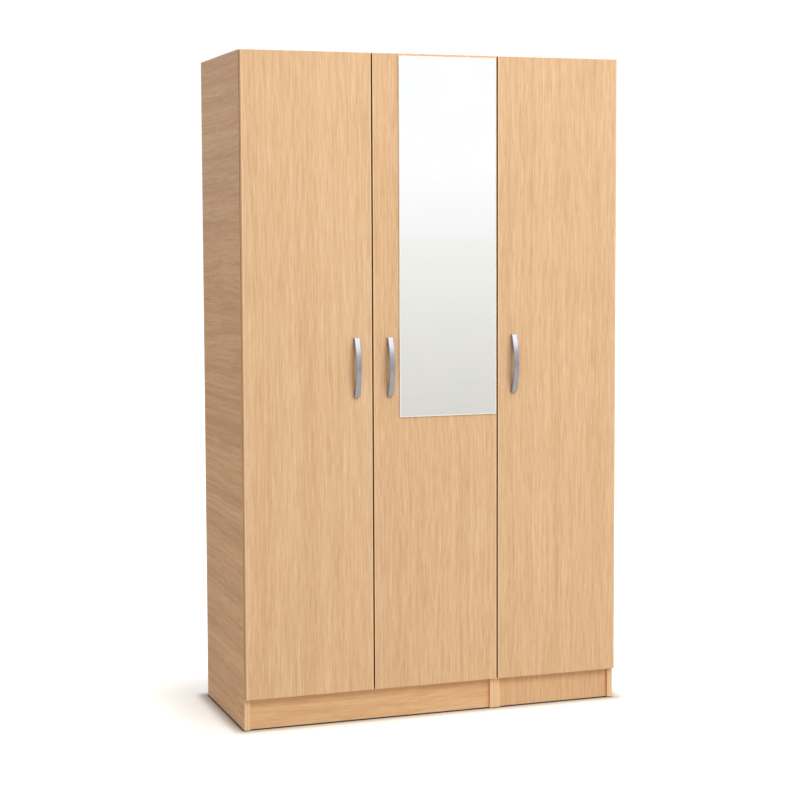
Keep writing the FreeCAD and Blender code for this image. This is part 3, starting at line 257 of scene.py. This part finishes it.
def oak(name, grain, seed, wave=0.02, tone=(1.0, 1.0, 1.0), contrast=1.0, figure_share=0.35,
        stretch=1.0, lipping_highlight_door=None, edge_painted_shades=(), front_edges=False):
    """Oak-effect foil with its grain along an axis.

    wave sets how far the grain's lines wander, and stretch how long they are. figure_share is
    the broad layers' share of the figure. lipped names a door whose upright edges are paler:
    partly the lipping's own colour and partly a painted highlight. edge_painted_shades gives the
    painted shade tones of its two narrow sides, on the left and on the right.
    front_edges gives the front an upright grain."""
    shade = Shader(name, OAK_MID, roughness=0.42, specular=0.35)
    offset = (seed * 1.73, seed * 2.91, seed * 0.67)
    # The lines wander: a slow noise pushes the coordinates sideways.
    slow = [DRIFT_ACROSS] * 3
    slow[grain] = DRIFT_ALONG
    drift = shade.remap(shade.noise(shade.place(slow, offset)), 0.0, 1.0, -wave, wave)
    push = shade.add("ShaderNodeCombineXYZ")
    for axis in range(3):
        if axis != grain:
            shade.join(drift, push.inputs[axis])
    moved = shade.add("ShaderNodeVectorMath", operation="ADD")
    shade.join(shade.coordinate(), moved.inputs[0])
    shade.join(push.outputs[0], moved.inputs[1])

    def lines(across, along, shift, detail=2.0):
        """Noise stretched along the grain, with its middle range spread over 0 to 1."""
        scale = [across] * 3
        scale[grain] = along / stretch
        vector = shade.stretched(moved.outputs[0], scale, [part + shift for part in offset])
        return shade.remap(shade.noise(vector, detail, 0.55), 0.25, 0.75)

    streaks, fibres = lines(*STREAKS), lines(*FIBRES)
    broad, fine = figure_share / 2, (1.0 - figure_share) / 2
    figure = shade.fold("ADD", [shade.math("MULTIPLY", layer, share) for layer, share in (
        (lines(*BANDS), broad), (lines(*STRIPS), broad), (streaks, fine), (fibres, fine))])
    reach = FIGURE_REACH / contrast
    ramp = shade.add("ShaderNodeValToRGB")
    deep, pale = ramp.color_ramp.elements
    deep.color, deep.position = OAK_DEEP, DEEP_AT
    pale.color, pale.position = OAK_PALE, PALE_AT
    ramp.color_ramp.elements.new(0.5).color = OAK_MID
    shade.join(shade.remap(figure, 0.5 - reach, 0.5 + reach), ramp.inputs["Fac"])
    pores = shade.remap(lines(*PORES, detail=1.0), PORES_FROM, PORES_FULLY)
    pores = shade.math("MULTIPLY", pores, PORE_STRENGTH * contrast)
    colour = shade.mix(pores, ramp.outputs["Color"], OAK_PORE)
    colour = shade.toned(colour, shade.mix(lines(*TINT), OAK_ROSE, OAK_STRAW))
    colour = shade.toned(colour, (*tone, 1.0))
    if front_edges:
        upright = shade.remap(shade.noise(shade.place(FRONT_FIBRES, offset)), 0.3, 0.7)
        upright = shade.mix(upright, OAK_MID, OAK_LIPPING_AND_HIGHLIGHT)
        colour = shade.mix(shade.facing(FRONT_TO_BACK), colour, upright)
    # The doors' upright edges are paler: partly the lipping's own colour, partly a painted
    # highlight.
    if lipping_highlight_door:
        lipping_highlight_mask = shade.near_sides(lipping_highlight_door, [CROSSWISE], LIPPING_HIGHLIGHT_WIDTH)
        colour = shade.mix(shade.math("MULTIPLY", lipping_highlight_mask, LIPPING_HIGHLIGHT_STRENGTH), colour, OAK_LIPPING_AND_HIGHLIGHT)
    # Painted shade on the narrow faces to the left and right, multiplied in from the given tones.
    for sign, edge_painted_shade in zip((-1, 1), edge_painted_shades):
        toned = shade.toned(colour, (*edge_painted_shade, 1.0))
        colour = shade.mix(shade.facing(CROSSWISE, sign), colour, toned)
    shade.colour(colour)
    shade.roughness(shade.remap(streaks, 0.0, 1.0, FOIL_SMOOTHEST, FOIL_ROUGHEST))
    shade.bump(shade.math("SUBTRACT", shade.math("MULTIPLY", fibres, 0.4), pores), 0.2, 0.0003)
    return shade.material


# Painted shade: the outer sides, the inner uprights and the doors' outer narrow edges are toned
# warmer and deeper than the front, as they look in shade, and the doors' narrow edges at the gaps
# are painted dark as the gaps' shade.
SIDE_PAINTED_SHADE = (1.06, 0.89, 0.67)
GAP_PAINTED_SHADE = (0.42, 0.25, 0.11)
WIDE_PLINTH_TONE = (1.05, 1.02, 0.95)
NARROW_PLINTH_TONE = (1.02, 0.99, 0.94)

for door, seed, edge_painted_shades in zip(DOORS, (1.0, 2.3, 3.9), (
        (SIDE_PAINTED_SHADE, GAP_PAINTED_SHADE), (GAP_PAINTED_SHADE, GAP_PAINTED_SHADE), (GAP_PAINTED_SHADE, SIDE_PAINTED_SHADE))):
    dress(oak(f"oak {door} door", VERTICAL, seed, wave=0.012, contrast=0.82, figure_share=0.3,
              lipping_highlight_door=f"{door}_door", edge_painted_shades=edge_painted_shades), f"{door}_door")
# The side panels and the inner uprights carry the side's painted shade tone.
for name, seed, contrast, panels in (
        ("oak left side", 5.2, 1.9, ["left_side_panel"]),
        ("oak right side", 6.4, 1.1, ["right_side_panel"]),
        ("oak inner uprights", 7.7, 0.9, ["wide_right_panel", "narrow_left_panel"])):
    dress(oak(name, FRONT_TO_BACK, seed, wave=0.035, contrast=contrast, tone=SIDE_PAINTED_SHADE,
              figure_share=0.5, stretch=2.5, front_edges=True), *panels)
dress(oak("oak boards", CROSSWISE, 8.1, wave=0.04),
      "wide_top_panel", "wide_bottom_panel", "hat_shelf", "narrow_top_panel", "narrow_bottom_panel",
      "narrow_fixed_shelf", "narrow_lower_shelf", "narrow_upper_shelf")
dress(oak("oak wide plinth", CROSSWISE, 9.5, wave=0.05, tone=WIDE_PLINTH_TONE, contrast=0.9,
          figure_share=0.5), "wide_plinth")
dress(oak("oak narrow plinth", VERTICAL, 10.9, tone=NARROW_PLINTH_TONE, contrast=0.8),
      "narrow_plinth")
dress(oak("beech dowels", CROSSWISE, 12.0), "wood_dowels")


# ---------------------------------------------------------------- other materials

MIRROR_RIM = 0.0035
RIM_ROUGHNESS, RIM_METALLIC = 0.3, 0.2


def metal(name, colour, roughness, brushed, strength=0.2):
    """A plated metal with fine wear along a direction and a little variation in its polish."""
    shade = Shader(name, colour, roughness=roughness, metallic=1.0)
    lines = shade.noise(shade.place(brushed), roughness=0.6)
    smudges = shade.noise(shade.place((30, 30, 30), (4, 2, 7)), detail=3.0)
    shade.colour(shade.mix(shade.remap(lines, 0.3, 0.7), darkened(colour, 0.86), colour))
    shade.roughness(shade.remap(smudges, 0.3, 0.7, roughness * 0.8, roughness * 1.25))
    shade.bump(lines, strength, 0.0001)
    return shade.material


def plastic(name, colour, roughness=0.45):
    """Moulded plastic with a fine eggshell texture."""
    shade = Shader(name, colour, roughness=roughness)
    grain = shade.noise(shade.place((900, 900, 900)))
    cloud = shade.noise(shade.place((25, 25, 25), (1, 5, 3)))
    shade.colour(shade.mix(shade.remap(cloud, 0.35, 0.65), darkened(colour, 0.90), colour))
    shade.roughness(shade.remap(grain, 0.3, 0.7, roughness * 0.9, roughness * 1.15))
    shade.bump(grain, 0.12, 0.0002)
    return shade.material


def hardboard():
    """Thin hardboard: pressed brown fibres under a wood-tone lacquer."""
    shade = Shader("hardboard", linear(196, 160, 120), roughness=0.62, specular=0.3)
    fibres = shade.noise(shade.place((700, 700, 260)), detail=4.0, roughness=0.65, distortion=0.6)
    flakes = shade.noise(shade.place((110, 110, 80), (3, 3, 3)), detail=3.0, roughness=0.6)
    base = shade.mix(shade.remap(flakes, 0.3, 0.7), linear(204, 168, 128), linear(216, 182, 143))
    shade.colour(shade.mix(shade.remap(fibres, 0.45, 0.75), base, linear(172, 134, 96)))
    shade.roughness(shade.remap(fibres, 0.3, 0.7, 0.55, 0.72))
    shade.bump(fibres, 0.25, 0.0003)
    return shade.material


def mirror_glass():
    """Silvered glass, faintly hazed by dust, with a pale ground rim."""
    shade = Shader("mirror glass", (0.93, 0.95, 0.945, 1.0), roughness=0.01, metallic=1.0)
    dust = shade.noise(shade.place((9, 9, 9)), detail=4.0, roughness=0.6)
    silver = shade.mix(shade.remap(dust, 0.4, 0.8), (0.93, 0.94, 0.93, 1.0),
                       (0.91, 0.925, 0.915, 1.0))
    rim = shade.near_sides("mirror", [CROSSWISE, VERTICAL], MIRROR_RIM)
    shade.colour(shade.mix(rim, silver, linear(244, 243, 236)))
    haze = shade.remap(dust, 0.4, 0.8, 0.006, 0.02)
    shade.roughness(shade.math("ADD", haze, shade.math("MULTIPLY", rim, RIM_ROUGHNESS)))
    shade.join(shade.remap(rim, 0.0, 1.0, 1.0, RIM_METALLIC), shade.surface.inputs["Metallic"])
    return shade.material


dress(metal("satin nickel", (0.37, 0.37, 0.41, 1.0), 0.26, (60, 320, 1800), 0.35),
      *on_doors("handle"))
dress(metal("hinge nickel", (0.62, 0.60, 0.56, 1.0), 0.28, (480, 480, 480), 0.15),
      "hinge_arms", "hinge_plates", "hinge_arm_pins", "wall_brackets", "rail_sockets", "shelf_pins",
      *on_doors("hinge_links", "hinge_cups", "cup_pins"))
dress(metal("zinc plating", (0.60, 0.62, 0.63, 1.0), 0.34, (800, 800, 800)),
      "board_screws", "hinge_arm_screws", "cam_locks", "cam_bolts", "joining_sleeves",
      "joining_bolts", *on_doors("cup_screws", "handle_screws"))
dress(metal("rail chrome", (0.74, 0.75, 0.76, 1.0), 0.10, (120, 1600, 1600), 0.06), "hanging_rail")
dress(metal("nail steel", (0.50, 0.48, 0.44, 1.0), 0.4, (800, 800, 800)), "back_nails")
dress(hardboard(), "wide_back_left", "wide_back_right", "narrow_back")
dress(plastic("white plastic", linear(226, 224, 217)),
      "back_joint_strip", "floor_glides", "mirror_tape")
dress(plastic("bumper plastic", linear(214, 214, 208), 0.3), "door_bumpers")
dress(plastic("brown plastic", linear(122, 88, 58)), "plinth_blocks")
dress(mirror_glass(), "mirror")


# ---------------------------------------------------------------- studio

FLOOR_SPAN = 400.0
FLOOR_PALE = (0.72, 0.68, 0.61, 1.0)
FLOOR_PALEST = (0.76, 0.72, 0.65, 1.0)
FLOOR_PAINTED_SHADOW = (0.10, 0.09, 0.08, 1.0)
# A painted shadow under the wardrobe: it reaches this far past the footprint, and starts this
# strongly.
PAINTED_SHADOW_REACH, PAINTED_SHADOW_STRENGTH = 0.006, 0.9
# The floor's glow to the eye rises from nothing over two distances from the wardrobe; the missing
# glow near it is painted shade: a narrow contact shadow and a wider soft one.
NEAR_GLOW_REACH, NEAR_GLOW = 0.05, 0.50
WIDE_GLOW_REACH, WIDE_GLOW = 0.45, 0.45
# The floor's glow in a mirror: its value far off, how it falls nearer the wardrobe, its least.
MIRRORED_FAR = 0.68
MIRRORED_FALL = 3.2
MIRRORED_NEAR = 4.7
MIRRORED_LEAST = 0.35

# The surroundings' brightness as a light, and how much it leans from left to right.
WORLD_LIGHT = 0.42
WORLD_LEAN = 0.12
SEEN_WORLD = 1.05
# To mirrors: from below the horizon to above it, and then the extra of a bright crown.
HORIZON_LOW, HORIZON_HIGH, HORIZON_DIM, HORIZON_BRIGHT = -0.007, 0.03, 0.975, 1.07
CROWN_LOW, CROWN_HIGH, CROWN_EXTRA = 0.30, 0.42, 1.7


def distance_outside(shade, low, high):
    """How far a point on the floor lies outside the wardrobe's footprint."""
    here = shade.split(shade.place())
    squares = []
    for axis in (CROSSWISE, FRONT_TO_BACK):
        gap = shade.fold("MAXIMUM", [shade.math("SUBTRACT", low[axis], here[axis]),
                                     shade.math("SUBTRACT", here[axis], high[axis]), 0.0])
        squares.append(shade.math("MULTIPLY", gap, gap))
    return shade.math("SQRT", shade.fold("ADD", squares))


def make_floor():
    """A wide pale floor: white to the eye, with painted shade close to the wardrobe and a painted
    dark shadow under it.
    """
    mesh = bpy.data.meshes.new("floor")
    edit = bmesh.new()
    bmesh.ops.create_grid(edit, x_segments=8, y_segments=8, size=FLOOR_SPAN / 2)
    edit.to_mesh(mesh)
    edit.free()
    floor = bpy.data.objects.new("floor", mesh)
    bpy.context.scene.collection.objects.link(floor)
    shade = Shader("studio floor", (0.9, 0.9, 0.9, 1.0), roughness=0.9, specular=0.0)
    # The footprint starts at the plinth's front, behind the side panels' front edges.
    left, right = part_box("left_side_panel")[0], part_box("right_side_panel")[1]
    outside = distance_outside(shade, (left[0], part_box("wide_plinth")[0][1]), right)
    mottle = shade.noise(shade.place((3, 3, 3)), detail=3.0)
    pale = shade.mix(shade.remap(mottle, 0.3, 0.7), FLOOR_PALE, FLOOR_PALEST)
    # Painted shadow: the floor's colour turns dark under the wardrobe's footprint.
    under = shade.remap(outside, 0.0, PAINTED_SHADOW_REACH, PAINTED_SHADOW_STRENGTH, 0.0)
    shade.colour(shade.mix(under, pale, FLOOR_PAINTED_SHADOW))
    # What the eye sees of it: glowing white, except close to the wardrobe, where less glow is
    # painted shade.
    seen = shade.math("ADD", *[
        shade.remap(outside, 0.0, reach, 0.0, glow, smooth=True)
        for reach, glow in ((NEAR_GLOW_REACH, NEAR_GLOW), (WIDE_GLOW_REACH, WIDE_GLOW))])
    # What mirrors see of it: greyer a few metres in front than far off.
    forward = shade.math("MULTIPLY", shade.split(shade.place())[FRONT_TO_BACK], -1.0)
    forward = shade.math("MAXIMUM", forward, 0.0)
    greyer = shade.math("DIVIDE", MIRRORED_FALL, shade.math("ADD", forward, MIRRORED_NEAR))
    mirrored = shade.math("SUBTRACT", MIRRORED_FAR, greyer)
    mirrored = shade.math("MAXIMUM", mirrored, MIRRORED_LEAST)
    path = shade.add("ShaderNodeLightPath").outputs
    glow = shade.math("ADD", shade.math("MULTIPLY", path["Is Camera Ray"], seen),
                      shade.math("MULTIPLY", path["Is Glossy Ray"], mirrored))
    shade.surface.inputs["Emission Color"].default_value = WHITE
    shade.join(glow, shade.surface.inputs["Emission Strength"])
    mesh.materials.append(shade.material)


def make_world():
    """White surroundings. As a light they are dim, and dimmer on the left than on the right."""
    world = bpy.data.worlds.new("studio")
    bpy.context.scene.world = world
    world.use_nodes = True
    shade = Nodes(world.node_tree)
    across, _, up = shade.split(shade.add("ShaderNodeTexCoord").outputs["Generated"])
    path = shade.add("ShaderNodeLightPath").outputs
    camera, glossy = path["Is Camera Ray"], path["Is Glossy Ray"]
    diffuse = shade.math("SUBTRACT", 1.0, shade.math("MAXIMUM", camera, glossy))
    lit = shade.math("ADD", WORLD_LIGHT, shade.math("MULTIPLY", across, WORLD_LEAN))
    # High up it is brighter to mirrors, as a lamp over the wardrobe would be.
    mirrored = shade.math(
        "ADD", shade.remap(up, HORIZON_LOW, HORIZON_HIGH, HORIZON_DIM, HORIZON_BRIGHT),
        shade.remap(up, CROWN_LOW, CROWN_HIGH, 0.0, CROWN_EXTRA))
    total = shade.fold("ADD", [shade.math("MULTIPLY", *pair) for pair in (
        (camera, SEEN_WORLD), (glossy, mirrored), (diffuse, lit))])
    background = shade.tree.nodes["Background"]
    background.inputs["Color"].default_value = WHITE
    shade.join(total, background.inputs["Strength"])


def softbox(name, place, target, width, height, power):
    """A large soft rectangular light aimed at a point. Mirrors and gloss don't show it."""
    data = bpy.data.lights.new(name, "AREA")
    data.shape = "RECTANGLE"
    data.size = width
    data.size_y = height
    data.energy = power
    lamp = bpy.data.objects.new(name, data)
    lamp.location = place
    lamp.rotation_euler = (Vector(target) - Vector(place)).to_track_quat("-Z", "Y").to_euler()
    lamp.visible_glossy = False
    bpy.context.scene.collection.objects.link(lamp)


make_floor()
make_world()
softbox("key", (1.2, -4.8, 4.0), (0, 0, 1.1), width=3.0, height=2.4, power=164)
softbox("overhead", (0.6, -1.2, 5.0), (0, -0.4, 0), width=4.5, height=4.5, power=60)

bpy.context.scene.view_settings.view_transform = "Standard"
bpy.context.scene.view_settings.look = "None"
